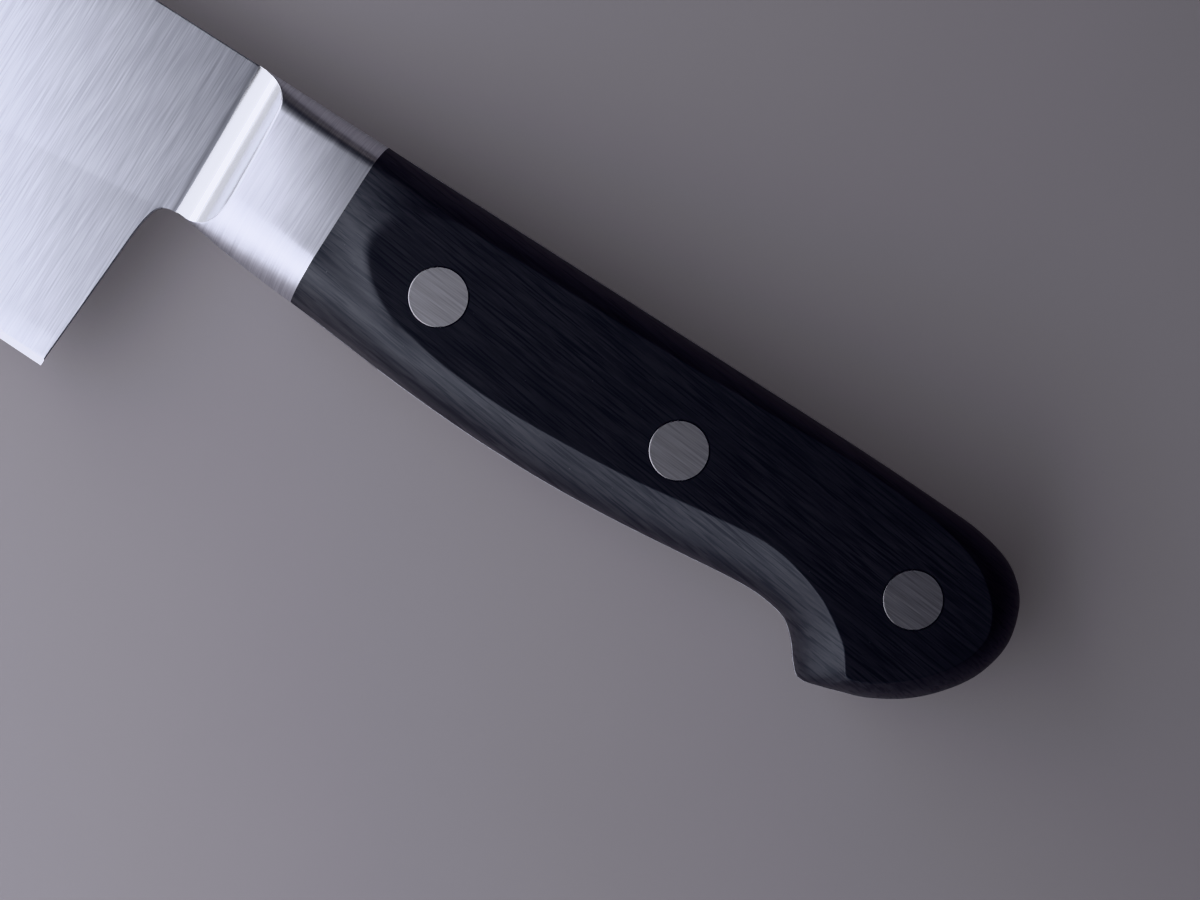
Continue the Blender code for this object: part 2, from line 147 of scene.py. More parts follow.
# Handle outline x, y, crease x, y, and the shape of the rounding between them:
# how far it runs before it turns down, and how flat it leaves the crease
HANDLE_ROWS = [
    (-14.4, 0.0, -14.4, 3.65, 0.50, 0.88),
    (-30.0, 0.0, -30.0, 3.4, 0.50, 0.88),
    (-45.0, 0.0, -45.0, 3.2, 0.50, 0.88),
    (-60.0, 0.0, -59.8, 2.7, 0.50, 0.88),
    (-75.0, 0.05, -74.0, 2.2, 0.50, 0.88),
    (-87.7, 0.36, -85.0, 2.7, 0.55, 0.84),
    (-93.0, 0.7, -90.0, 3.5, 0.58, 0.80),
    (-98.3, 2.1, -94.9, 5.2, 0.58, 0.78),
    (-101.8, 4.9, -98.2, 7.8, 0.58, 0.78),
    (-103.5, 8.6, -99.9, 10.4, 0.58, 0.78),
    (-103.95, 12.2, -100.35, 12.8, 0.58, 0.78),
    (-102.9, 16.6, -99.6, 15.9, 0.58, 0.78),
    (-100.7, 20.3, -97.7, 19.0, 0.58, 0.78),
    (-97.1, 24.1, -94.7, 22.2, 0.58, 0.78),
    (-92.2, 27.2, -91.2, 24.9, 0.58, 0.78),
    (-88.0, 28.7, -88.9, 26.1, 0.58, 0.78),
    (-86.1, 29.3, -87.9, 26.25, 0.58, 0.78),
    (-85.6, 29.43, -87.5, 26.15, 0.70, 0.60),
    (-83.9, 29.9, -86.9, 25.4, 0.70, 0.60),
    (-82.9, 29.85, -86.3, 24.5, 0.70, 0.60),
    (-82.2, 29.35, -85.5, 23.4, 0.70, 0.60),
    (-81.1, 28.1, -84.2, 22.3, 0.70, 0.60),
    (-79.6, 26.2, -82.1, 20.9, 0.70, 0.60),
    (-77.3, 24.3, -79.4, 19.4, 0.70, 0.60),
    (-74.5, 23.6, -76.1, 18.25, 0.70, 0.60),
    (-71.3, 23.4, -72.4, 17.4, 0.70, 0.60),
    (-67.5, 23.65, -68.2, 17.2, 0.70, 0.60),
    (-60.0, 24.5, -60.0, 18.2, 0.70, 0.60),
    (-50.3, 25.5, -50.2, 19.6, 0.70, 0.60),
    (-41.0, 26.1, -41.0, 20.4, 0.70, 0.60),
    (-31.0, 26.25, -31.0, 20.8, 0.70, 0.68),
    (-22.0, 25.95, -22.0, 20.3, 0.70, 0.80),
    (-14.4, 25.45, -14.4, 19.0, 0.70, 0.90),
]
# Front edge of the flat side, from the spine to the belly
RAMP_CREASE = [
    (-14.4, 3.65), (-11.6, 4.5), (-9.4, 5.7), (-7.5, 7.6), (-6.3, 9.8), (-5.9, 12.0),
    (-6.7, 14.0), (-8.2, 15.6), (-10.0, 17.0), (-12.1, 18.1), (-14.4, 19.0),
]
CREASE_SOFT = 0.45
SCALE_INSET = 0.07

# Rivet heads, their rim as rows of inset and drop, and the recesses they sit in
HEAD_RADIUS = 4.0
HEAD_DEPTH = 1.5
HEAD_RIM = [(0.16, 0.0), (0.06, 0.03), (0.0, 0.12)]
HEAD_RIM_WIDTH = 0.2
RECESS_GAP = 0.03
RECESS_FLOOR = 0.05

# Painted shade on the blade along the bolster's toe: a dark band in the blade's colour in place
# of the shadow where the fillet meets the blade
TOE_SHADE_AHEAD = 0.35
TOE_SHADE_REACH = 0.75
TOE_SHADE_SHARE = 0.55

# Camera: its turn, the point of the handle it looks straight down on, in
# millimetres, and its height in metres
CAMERA_TURN = math.radians(212.55)
CAMERA_AIM = (-44.9, 18.6)
CAMERA_HEIGHT = 0.45
CAMERA_LENS = 102.1

# What the lights are set out from: the front of the bolster
LIGHT_FOOT = (20.0, 12.0)

# Floor, in metres: half its width, and the gap it leaves under the knife
FLOOR_HALF = 2.0
FLOOR_GAP = 0.0001


# ---------------------------------------------------------------- mesh tools

def mix(a, b, t):
    return a + (b - a) * t


def spline(points, spacing):
    """Smooth curve through rows of numbers; its pace is the first two."""
    pace = [0.0]
    for a, b in zip(points, points[1:]):
        pace.append(pace[-1] + math.dist(a[:2], b[:2]))
    slopes = []
    for i in range(len(points)):
        lo = max(i - 1, 0)
        hi = min(i + 1, len(points) - 1)
        span = pace[hi] - pace[lo]
        slopes.append([(q - p) / span for p, q in zip(points[lo], points[hi])])
    curve = []
    for i in range(len(points) - 1):
        length = pace[i + 1] - pace[i]
        count = max(1, round(length / spacing))
        for step in range(count):
            t = step / count
            near = (1 + 2 * t) * (1 - t) ** 2
            far = t * t * (3 - 2 * t)
            out = t * (1 - t) ** 2 * length
            back = t * t * (t - 1) * length
            row = zip(points[i], points[i + 1], slopes[i], slopes[i + 1])
            curve.append(tuple(near * a + far * b + out * c + back * d for a, b, c, d in row))
    curve.append(tuple(points[-1]))
    return curve


def closing_in(share):
    """Share of a way gone in steps that shorten toward its end."""
    return 1 - (1 - share) ** 1.5


def value_at(points, x):
    """Y of a smooth curve at a given X; X runs one way along the points."""
    curve = spline(points, LOOKUP_SPACING)
    for a, b in zip(curve, curve[1:]):
        if min(a[0], b[0]) <= x <= max(a[0], b[0]):
            t = (x - a[0]) / (b[0] - a[0])
            return mix(a[1], b[1], t)
    return curve[-1][1]


def new_vert(bm, x, y, z):
    return bm.verts.new((JOINT.x + x * MM, JOINT.y + y * MM, MID_Z + z * MM))


def new_face(bm, corners, material=0):
    """Face through the corners, skipping those that fall on one another."""
    kept = []
    for vert in corners:
        if not any((vert.co - other.co).length < 0.001 * MM for other in kept):
            kept.append(vert)
    if len(kept) > 2:
        face = bm.faces.new(kept)
        face.material_index = material


def skin(bm, lines, material=0):
    """Quads between neighbouring lines of vertices."""
    for a, b in zip(lines, lines[1:]):
        for i in range(len(a) - 1):
            new_face(bm, [a[i], a[i + 1], b[i + 1], b[i]], material)


def flip(bm, side):
    """The far half is the near one mirrored in the middle plane."""
    if side < 0:
        for vert in bm.verts:
            vert.co.z = 2 * MID_Z - vert.co.z


def soften(bm, pairs, weight):
    """Mark the edges along a line of vertices for the bevel."""
    layer = bm.edges.layers.float.get("bevel_weight_edge")
    if layer is None:
        layer = bm.edges.layers.float.new("bevel_weight_edge")
    for a, b in pairs:
        edge = bm.edges.get((a, b))
        if edge:
            edge[layer] = weight


def finish_mesh(name, bm, materials, bevel=0.0, segments=3, sharp=30):
    """Smooth-shaded object from a bmesh; the marked edges get the bevel."""
    bmesh.ops.remove_doubles(bm, verts=bm.verts, dist=0.0005 * MM)
    bmesh.ops.recalc_face_normals(bm, faces=bm.faces)
    mesh = bpy.data.meshes.new(name)
    bm.to_mesh(mesh)
    bm.free()
    mesh.shade_smooth()
    mesh.set_sharp_from_angle(angle=math.radians(sharp))
    for material in materials:
        mesh.materials.append(material)
    obj = bpy.data.objects.new(name, mesh)
    bpy.context.scene.collection.objects.link(obj)
    if bevel:
        soft = obj.modifiers.new("soft_edges", "BEVEL")
        soft.limit_method = "WEIGHT"
        soft.width = bevel * MM
        soft.segments = segments
        soft.harden_normals = True
        soft.miter_outer = "MITER_ARC"
    return obj


def stand_for(piece, slot, *nodes):
    """Let a piece stand in for the CAD nodes it shows."""
    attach(piece, "root")
    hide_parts(*nodes)


# ------------------------------------------------------------------ the steel

def cheek_half(x, y):
    """Half thickness of the flat-ground blade."""
    return TANG_HALF - CHEEK_DROP_Y * y - CHEEK_DROP_X * max(0.0, x - GRIND_START_X)


def steel_half(x, y):
    """Half thickness of the blank from the blade into the tang."""
    t = (x - GRIND_END_X) / (GRIND_START_X - GRIND_END_X)
    return mix(TANG_HALF, cheek_half(x, y), min(max(t, 0.0), 1.0))


def build_blade(materials):
    """The blank: blade, neck and tang, with eased spine, choil and tang edges."""
    bm = bmesh.new()

    def rim(x, y, half):
        return new_vert(bm, x, y, half), new_vert(bm, x, y, -half)

    # Cutting edge and the shoulders of its bevel, heel to tip
    stations = []
    for i in range(FLAT_STATIONS + 1):
        stations.append(HEEL_X + (FLAT_GRIND_X - HEEL_X) * i / FLAT_STATIONS)
    for i in range(1, TIP_STATIONS + 1):
        stations.append(mix(FLAT_GRIND_X, TIP_X - TIP_GAP, closing_in(i / TIP_STATIONS)))
    edge_curve = [(x, value_at(EDGE_POINTS, x)) for x in stations]
    shoulders = []
    for i, (x, y) in enumerate(edge_curve):
        ahead = edge_curve[i + 1] if i + 1 < len(edge_curve) else EDGE_POINTS[-1]
        behind = edge_curve[max(i - 1, 0)]
        run = math.dist(ahead, behind)
        width = BEVEL_WIDTH * min(1.0, (TIP_X - x + BEVEL_TIP_REST) / BEVEL_TIP_RUN)
        sx = x + width * (ahead[1] - behind[1]) / run if i else x - BEVEL_HEEL_LEAN * width
        sy = y - width * (ahead[0] - behind[0]) / run
        toward_tip = max(0.0, (x - FLAT_GRIND_X) / (TIP_X - FLAT_GRIND_X))
        flat = cheek_half(min(sx, FLAT_GRIND_X), sy)
        shoulders.append((sx, sy, mix(flat, EDGE_SHOULDER_HALF, min(1.0, 2 * toward_tip))))
    edge = [new_vert(bm, x, y, 0.0) for x, y in edge_curve]
    shoulder = [rim(*point) for point in shoulders]
    tip = new_vert(bm, *EDGE_POINTS[-1], 0.0)

    # Spine toward the tip, the neck, the choil and the grind's run-out
    spine = []
    for x in stations[FLAT_STATIONS:]:
        t = (x - FLAT_GRIND_X) / (TIP_X - FLAT_GRIND_X)
        half = mix(cheek_half(FLAT_GRIND_X, 0.0), TIP_SPINE_HALF, t)
        spine.append(rim(x, value_at(SPINE_POINTS, x), half))
    neck_spine = rim(GRIND_START_X, 0.0, cheek_half(GRIND_START_X, 0.0))
    choil = [rim(x, y, cheek_half(x, y)) for x, y in spline(CHOIL_POINTS, CHOIL_SPACING)]
    underside = spline(UNDERSIDE_POINTS, UNDERSIDE_SPACING)
    grind = []
    for x, y in [p for p in underside if GRIND_END_X <= p[0] < GRIND_START_X]:
        grind.append((rim(x, 0.0, steel_half(x, 0.0)), rim(x, y, steel_half(x, y))))

    # Tang
    belly = [rim(x, y, TANG_HALF) for x, y in underside if x < GRIND_END_X]
    outline = spline(HANDLE_ROWS, HANDLE_SPACING)
    handle = [rim(row[0], row[1], TANG_HALF) for row in outline]

    # Both sides
    for s in (0, 1):
        skin(bm, [[pair[s] for pair in shoulder] + [tip], edge + [tip]], 1)
        ahead = [pair[s] for pair in shoulder[FLAT_STATIONS:]] + [tip]
        skin(bm, [[pair[s] for pair in spine] + [tip], ahead])
        cheek = [spine[0][s], neck_spine[s]] + [pair[s] for pair in reversed(choil)]
        new_face(bm, cheek + [pair[s] for pair in shoulder[:FLAT_STATIONS + 1]])
        tops = [neck_spine[s]] + [a[s] for a, b in grind]
        feet = [choil[-1][s]] + [b[s] for a, b in grind]
        skin(bm, [tops, feet])
        loop = [tops[-1]] + [pair[s] for pair in handle + belly[::-1]] + [feet[-1]]
        new_face(bm, loop)

    # Narrow faces all round, and the edges to ease
    ring = [spine[0], neck_spine] + [a for a, b in grind] + handle + belly[::-1]
    ring += [b for a, b in grind[::-1]] + choil[::-1] + [shoulder[0]]
    skin(bm, [[pair[0] for pair in ring], [pair[1] for pair in ring]], 2)
    skin(bm, [[pair[0] for pair in spine] + [tip], [pair[1] for pair in spine] + [tip]], 2)
    new_face(bm, [shoulder[0][0], edge[0], shoulder[0][1]], 2)

    eased = [spine[::-1] + [neck_spine] + [a for a, b in grind[:2]], choil[::-1] + [shoulder[0]]]
    for s in (0, 1):
        for line in eased:
            soften(bm, [(a[s], b[s]) for a, b in zip(line, line[1:])], 1.0)
        soften(bm, [(a[s], b[s]) for a, b in zip(handle, handle[1:])], TANG_EASE_SHARE)
    return finish_mesh("blade_steel_blank", bm, materials, bevel=EDGE_EASE)


def underside_y(x):
    return value_at(UNDERSIDE_POINTS, min(max(x, 0.0), UNDERSIDE_POINTS[0][0]))


def rounding(s, start, height, waist=1.0):
    """Share of the width and of the height, from crease (0) to outline (1).

    It runs start of the way before it turns down, and a waist under 1 cuts the
    corner short of the outline.
    """
    side = 3 * start * s * (1 - s) ** 2 + 3 * waist * s * s * (1 - s) + s ** 3
    drop = (1 - s) ** 3 + 3 * height * s * (1 - s) ** 2 + 3 * ROUND_END * s * s * (1 - s)
    return side, drop


def bolster_height(x, y):
    """Side of the bolster: tapering to the neck, lightly crowned to the spine."""
    taper = x * (BOLSTER_TAPER + BOLSTER_TAPER_GAIN * x)
    return BOLSTER_REAR_HALF - taper - BOLSTER_CROWN * max(0.0, BOLSTER_CROWN_Y - y) ** 2


def bolster_section(share, x):
    """Height and y of the bolster's side at one share of the way across."""
    zone, s = share
    lower = underside_y(x)
    if zone == "flat":
        y = mix(BOLSTER_SPINE_ROUND, lower - BOLSTER_BELLY_ROUND, s)
        return bolster_height(x, y), y
    side, drop = rounding(s, ROUND_START, 1.0, ROUND_WAIST)
    rim_y = 0.0 if zone == "spine" else lower
    width = BOLSTER_SPINE_ROUND if zone == "spine" else -BOLSTER_BELLY_ROUND
    height = bolster_height(x, rim_y + width)
    return mix(steel_half(x, rim_y), height, drop), rim_y + width * (1 - side)


def build_bolster(name, side, materials):
    """Cheek of the bolster, running out onto the blade in a polished fillet."""
    bm = bmesh.new()
    spine_steps = 16
    flat_steps = 16
    belly_steps = 22
    side_steps = 16
    fillet_steps = 24
    search_steps = 20
    shares = [("spine", 1 - j / spine_steps) for j in range(spine_steps)]
    shares += [("flat", j / flat_steps) for j in range(flat_steps + 1)]
    shares += [("belly", (j + 1) / belly_steps) for j in range(belly_steps)]
    side_lines = []
    fillet_lines = []
    for share in shares:
        # Close in on where the side meets the fillet
        edge_x = BOLSTER_FRONT_X
        for _ in range(search_steps):
            height, y = bolster_section(share, edge_x)
            toe_x = FILLET_TOE_X - FILLET_SLANT * y
            rise = max(0.0, height - steel_half(toe_x, y))
            turn = math.acos(math.cos(FILLET_START) - rise / FILLET_RADIUS)
            edge_x = toe_x - FILLET_RADIUS * (math.sin(turn) - math.sin(FILLET_START))
        line = []
        for step in range(side_steps + 1):
            x = edge_x * closing_in(step / side_steps)
            height, y = bolster_section(share, x)
            line.append(new_vert(bm, x, y, height))
        side_lines.append(line)
        toe_base = steel_half(toe_x, bolster_section(share, toe_x)[1])
        fillet = [line[-1]]
        for step in range(1, fillet_steps + 1):
            angle = mix(turn, FILLET_START, step / fillet_steps)
            x = toe_x - FILLET_RADIUS * (math.sin(angle) - math.sin(FILLET_START))
            y = bolster_section(share, x)[1]
            rise = FILLET_RADIUS * (math.cos(FILLET_START) - math.cos(angle))
            fillet.append(new_vert(bm, x, y, toe_base + rise))
        fillet_lines.append(fillet)
    skin(bm, side_lines, 0)
    skin(bm, fillet_lines, 1)
    new_face(bm, [line[0] for line in side_lines])
    flip(bm, side)
    return finish_mesh(name, bm, materials, sharp=70)


# ----------------------------------------------------------------- the handle

def rounded_line(bm, outer, crease, shape, steps):
    """Vertices from the crease down to the outline."""
    line = []
    for j in range(steps + 1):
        side, drop = rounding(j / steps, *shape)
        x = mix(crease[0], outer[0], side)
        y = mix(crease[1], outer[1], side)
        line.append(new_vert(bm, x, y, mix(TANG_HALF, crease[2], drop)))
    return line


def inset_rows(rows, inset):
    """Rows with the outline drawn in a little toward the crease."""
    result = []
    for row in rows:
        reach = math.dist(row[:2], row[2:4])
        ox = mix(row[0], row[2], inset / reach)
        oy = mix(row[1], row[3], inset / reach)
        result.append((ox, oy) + row[2:])
    return result


def ramp_height(t, y):
    """Front ramp, straight from the bolster and easing into the flat side."""
    share = RAMP_RISE * t - RAMP_EASE * max(0.0, t - RAMP_EASE_START) ** 2
    return mix(bolster_height(0.0, y), HANDLE_HALF, share)


def build_scale(name, side, material):
    """One handle scale with its front ramp and the crease round its flat side."""
    bm = bmesh.new()
    rows = inset_rows(spline(HANDLE_ROWS, HANDLE_SPACING), SCALE_INSET)
    steps = 14
    columns = []
    for ox, oy, cx, cy, start, height in rows:
        crease = (cx, cy, HANDLE_HALF)
        columns.append(rounded_line(bm, (ox, oy), crease, (start, height), steps))
    skin(bm, columns)

    # Ramp from the bolster joint up to the flat side
    lower = UNDERSIDE_POINTS[-1][1]
    crease = spline(RAMP_CREASE, CREASE_SPACING)
    first = rows[0]
    last = rows[-1]
    flat_lo = BOLSTER_SPINE_ROUND
    flat_hi = lower - BOLSTER_BELLY_ROUND
    lines = []
    ramp_steps = 18
    for step in range(ramp_steps):
        t = step / ramp_steps
        x = RAMP_X * t
        inset = SCALE_INSET * min(1.0, 3 * t)
        waist = mix(ROUND_WAIST, 1.0, t)
        shape = (mix(ROUND_START, first[4], t), mix(1.0, first[5], t), waist)
        top = (x, mix(flat_lo, first[3], t), ramp_height(t, flat_lo))
        line = rounded_line(bm, (x, inset), top, shape, steps)[::-1]
        for k, end in list(enumerate(crease))[1:-1]:
            start_y = mix(flat_lo, flat_hi, k / (len(crease) - 1))
            height = ramp_height(t, start_y)
            line.append(new_vert(bm, end[0] * t, mix(start_y, end[1], t), height))
        shape = (mix(ROUND_START, last[4], t), mix(1.0, last[5], t), waist)
        top = (x, mix(flat_hi, last[3], t), ramp_height(t, flat_hi))
        outer = (x, mix(lower, last[1] + SCALE_INSET, t) - inset)
        line += rounded_line(bm, outer, top, shape, steps)
        lines.append(line)
    flat_front = [new_vert(bm, x, y, HANDLE_HALF) for x, y in crease[1:-1]]
    lines.append(columns[0][::-1] + flat_front + columns[-1])
    skin(bm, lines)

    loop = flat_front[::-1] + [column[0] for column in columns]
    new_face(bm, loop)
    rim = [line[0] for line in lines[:-1]] + [column[-1] for column in columns]
    new_face(bm, rim + [line[-1] for line in lines[-2::-1]])
    new_face(bm, lines[0])
    soften(bm, list(zip(loop, loop[1:] + loop[:1])), 1.0)
    flip(bm, side)
    return finish_mesh(name, bm, [material], bevel=CREASE_SOFT, segments=4)


def turned(name, profile, centre, material, steps=96):
    """Solid turned round Z from a profile of radius and height."""
    mesh = bpy.data.meshes.new(name)
    points = [(r * MM, 0.0, z * MM) for r, z in profile]
    mesh.from_pydata(points, [(i, i + 1) for i in range(len(points) - 1)], [])
    mesh.materials.append(material)
    obj = bpy.data.objects.new(name, mesh)
    bpy.context.scene.collection.objects.link(obj)
    obj.location = centre
    screw = obj.modifiers.new("turn", "SCREW")
    screw.axis = "Z"
    screw.angle = math.radians(360)
    screw.steps = steps
    screw.render_steps = steps
    screw.use_merge_vertices = True
    screw.merge_threshold = 0.000001
    screw.use_smooth_shade = False
    return obj


def bake(obj):
    """Replace an object's mesh with the mesh its modifiers make."""
    evaluated = obj.evaluated_get(bpy.context.evaluated_depsgraph_get())
    mesh = bpy.data.meshes.new_from_object(evaluated)
    obj.modifiers.clear()
    obj.data = mesh


def turned_on_side(name, profile, centre, side, material):
    """Turned solid, mirrored in the middle plane for the far side."""
    obj = turned(name, profile, centre, material)
    bake(obj)
    if side < 0:
        obj.data.flip_normals()
        for vert in obj.data.vertices:
            vert.co.z = -vert.co.z
    return obj


def build_rivet_head(name, centre, side, face, rim):
    """Head ground flush with the handle, with a thin eased rim."""
    profile = [(0.0, HANDLE_HALF)]
    profile += [(HEAD_RADIUS - inset, HANDLE_HALF - drop) for inset, drop in HEAD_RIM]
    inner = HANDLE_HALF - HEAD_DEPTH
    profile += [(HEAD_RADIUS, inner), (0.0, inner)]
    head = turned_on_side(name, profile, centre, side, face)
    head.data.materials.append(rim)
    for polygon in head.data.polygons:
        radial = math.hypot(polygon.center.x, polygon.center.y)
        if radial > (HEAD_RADIUS - HEAD_RIM_WIDTH) * MM:
            polygon.material_index = 1
    head.data.set_sharp_from_angle(angle=math.radians(12))
    return head


def cut_recess(scale, name, centre, side, material):
    """Recess for a rivet head in a handle scale; returns its cutter."""
    radius = HEAD_RADIUS + RECESS_GAP
    bottom = HANDLE_HALF - HEAD_DEPTH - RECESS_FLOOR
    profile = [(0.0, HANDLE_HALF + 1), (radius, HANDLE_HALF + 1), (radius, bottom), (0.0, bottom)]
    cutter = turned_on_side(name, profile, centre, side, material)
    boolean = scale.modifiers.new(name, "BOOLEAN")
    boolean.object = cutter
    boolean.solver = "EXACT"
    return cutter


# -------------------------------------------------------------------- materials

class Nodes:
    """Short hand for building one material's node tree."""

    def __init__(self, name):
        self.material = bpy.data.materials.new(name)
        self.material.use_nodes = True
        self.tree = self.material.node_tree
        self.shader = self.tree.nodes["Principled BSDF"]
        self.coords = self.add("ShaderNodeTexCoord").outputs["Object"]

    def add(self, kind, **settings):
        node = self.tree.nodes.new(kind)
        for key, value in settings.items():
            setattr(node, key, value)
        return node

    def join(self, output, socket):
        self.tree.links.new(output, socket)

    def stretched(self, scale, detail=2.0, roughness=0.5, offset=(0, 0, 0), turn=0.0):
        """Noise with its cells stretched, turned in the plane by some degrees.

        The scale is cells per metre on each axis.
        """
        mapping = self.add("ShaderNodeMapping", vector_type="TEXTURE")
        mapping.inputs["Location"].default_value = offset
        mapping.inputs["Rotation"].default_value = (0.0, 0.0, math.radians(turn))
        mapping.inputs["Scale"].default_value = [1 / number for number in scale]
        self.join(self.coords, mapping.inputs["Vector"])
        noise = self.add("ShaderNodeTexNoise")
        noise.inputs["Scale"].default_value = 1.0
        noise.inputs["Detail"].default_value = detail
        noise.inputs["Roughness"].default_value = roughness
        self.join(mapping.outputs["Vector"], noise.inputs["Vector"])
        return noise.outputs["Fac"]

    def ramp(self, value, low, high, to_low=0.0, to_high=1.0):
        node = self.add("ShaderNodeMapRange")
        node.inputs["From Min"].default_value = low
        node.inputs["From Max"].default_value = high
        node.inputs["To Min"].default_value = to_low
        node.inputs["To Max"].default_value = to_high
        self.join(value, node.inputs["Value"])
        return node.outputs["Result"]

    def math(self, operation, a, b):
        node = self.add("ShaderNodeMath", operation=operation)
        for socket, value in zip(node.inputs, (a, b)):
            if isinstance(value, (int, float)):
                socket.default_value = value
            else:
                self.join(value, socket)
        return node.outputs["Value"]

    def blend(self, factor, a, b):
        node = self.add("ShaderNodeMix", data_type="RGBA")
        self.join(factor, node.inputs[0])
        for socket, value in ((node.inputs[6], a), (node.inputs[7], b)):
            if isinstance(value, tuple):
                socket.default_value = (*value, 1.0)
            else:
                self.join(value, socket)
        return node.outputs[2]

    def bump(self, height, distance, strength=1.0):
        node = self.add("ShaderNodeBump")
        node.inputs["Strength"].default_value = strength
        node.inputs["Distance"].default_value = distance * MM
        self.join(height, node.inputs["Height"])
        self.join(node.outputs["Normal"], self.shader.inputs["Normal"])

    def tangent(self, x, y, z):
        node = self.add("ShaderNodeCombineXYZ")
        for socket, value in zip(node.inputs, (x, y, z)):
            socket.default_value = value
        self.join(node.outputs["Vector"], self.shader.inputs["Tangent"])


def toe_painted_shade(nodes):
    """Share of painted shade, strongest just ahead of the slanting toe of the fillet."""
    split = nodes.add("ShaderNodeSeparateXYZ")
    nodes.join(nodes.coords, split.inputs["Vector"])
    along_toe = nodes.math("MULTIPLY", split.outputs["Y"], FILLET_SLANT)
    toe = JOINT.x + (FILLET_TOE_X + TOE_SHADE_AHEAD) * MM + FILLET_SLANT * JOINT.y
    ahead = nodes.math("SUBTRACT", nodes.math("ADD", split.outputs["X"], along_toe), toe)
    away = nodes.math("ABSOLUTE", ahead, 0.0)
    return nodes.ramp(away, 0.0, TOE_SHADE_REACH * MM, TOE_SHADE_SHARE, 0.0)


def brushed_steel(name, dark, light, rough, along, anisotropy=0.6, turn=0.0, corner=False):
    """Steel ground in straight lines along Y or X.

    With a corner, painted shade darkens the steel along the bolster's toe, in place of the shadow
    where the fillet meets the blade.
    """
    nodes = Nodes(name)

    def line(across, length, offset, detail=1.0, extra=0.0):
        scale = (across, length, length) if along == "Y" else (length, across, length)
        return nodes.stretched(scale, detail, 0.5, offset, turn + extra)

    fine = line(6400.0, 170.0, (0.3, 0.7, 0.1), extra=0.8)
    medium = line(4200.0, 120.0, (0.1, 0.2, 0.5), extra=-0.6)
    broad = line(500.0, 16.0, (0.5, 0.9, 0.2), 2.0)
    stray = line(2600.0, 90.0, (0.8, 0.4, 0.3), extra=3.0)
    lines = nodes.math("MULTIPLY", nodes.math("ADD", fine, medium), 0.5)
    scratch = nodes.ramp(stray, 0.68, 0.78)
    tone = nodes.math("ADD", nodes.ramp(lines, 0.34, 0.66), nodes.math("MULTIPLY", broad, 0.15))
    tone = nodes.math("SUBTRACT", tone, nodes.math("MULTIPLY", scratch, 0.3))
    color = nodes.blend(nodes.ramp(tone, 0.0, 1.1), dark, light)
    if corner:
        # Painted shade: a dark grey mixed into the steel along the bolster's toe, standing in for
        # the corner's shadow
        color = nodes.blend(toe_painted_shade(nodes), color, (0.16, 0.16, 0.18))
    nodes.join(color, nodes.shader.inputs["Base Color"])
    roughness = nodes.ramp(lines, 0.3, 0.7, rough - 0.02, rough + 0.03)
    nodes.join(roughness, nodes.shader.inputs["Roughness"])
    nodes.bump(lines, 0.0014)
    nodes.shader.inputs["Metallic"].default_value = 1.0
    nodes.shader.inputs["Anisotropic"].default_value = anisotropy
    if along == "Y":
        nodes.tangent(1.0, 0.0, 0.0)
    else:
        nodes.tangent(0.0, 1.0, 0.0)
    return nodes.material


def polished_steel(name, dark, light, rough):
    """Steel polished bright, with a faint haze along the lines of the wheel."""
    nodes = Nodes(name)
    haze = nodes.stretched((900.0, 120.0, 120.0), 3.0, 0.6, (0.2, 0.6, 0.4))
    nodes.join(nodes.blend(haze, dark, light), nodes.shader.inputs["Base Color"])
    roughness = nodes.ramp(haze, 0.3, 0.7, rough * 0.9, rough * 1.1)
    nodes.join(roughness, nodes.shader.inputs["Roughness"])
    nodes.bump(nodes.stretched((1500.0, 60.0, 60.0), 2.0, 0.5, (0.1, 0.1, 0.1)), 0.0006)
    nodes.shader.inputs["Metallic"].default_value = 1.0
    return nodes.material


def black_wood(name):
    """Resin-filled laminated wood: black, satin, with fine lengthwise pores."""
    nodes = Nodes(name)
    grain = nodes.stretched((180.0, 2500.0, 500.0), 3.0, 0.6, (0.3, 0.5, 0.2), -6.4)
    long_grain = nodes.stretched((60.0, 900.0, 300.0), 3.0, 0.6, (0.7, 0.1, 0.8), -5.5)
    cloud = nodes.stretched((45.0, 110.0, 110.0), 3.0, 0.55, (0.4, 0.4, 0.9), -6.0)
    pores = nodes.stretched((110.0, 3300.0, 450.0), 2.0, 0.5, (0.9, 0.6, 0.1), -6.4)
    pores = nodes.ramp(pores, 0.52, 0.62)
    specks = nodes.stretched((2600.0, 2600.0, 2600.0), 1.0, 0.5, (0.2, 0.8, 0.5))
    specks = nodes.ramp(specks, 0.80, 0.84)
    fine_share = nodes.math("MULTIPLY", grain, 0.65)
    long_share = nodes.math("MULTIPLY", long_grain, 0.35)
    streak = nodes.math("ADD", fine_share, long_share)
    patch = nodes.ramp(cloud, 0.3, 0.75, 0.5, 1.0)
    tone = nodes.math("MULTIPLY", nodes.ramp(streak, 0.43, 0.575), patch)
    color = nodes.blend(tone, (0.032, 0.0312, 0.0320), (0.056, 0.0545, 0.0560))
    color = nodes.blend(pores, color, (0.019, 0.0185, 0.0190))
    color = nodes.blend(specks, color, (0.10, 0.10, 0.105))
    nodes.join(color, nodes.shader.inputs["Base Color"])
    satin = nodes.ramp(streak, 0.3, 0.7, 0.39, 0.415)
    rough = nodes.math("ADD", satin, nodes.math("MULTIPLY", pores, 0.03))
    nodes.join(rough, nodes.shader.inputs["Roughness"])
    height = nodes.math("SUBTRACT", streak, nodes.math("MULTIPLY", pores, 0.3))
    nodes.bump(height, 0.0045)
    nodes.shader.inputs["IOR"].default_value = 1.55
    nodes.shader.inputs["Specular Tint"].default_value = (0.88, 0.92, 1.0, 1.0)
    return nodes.material


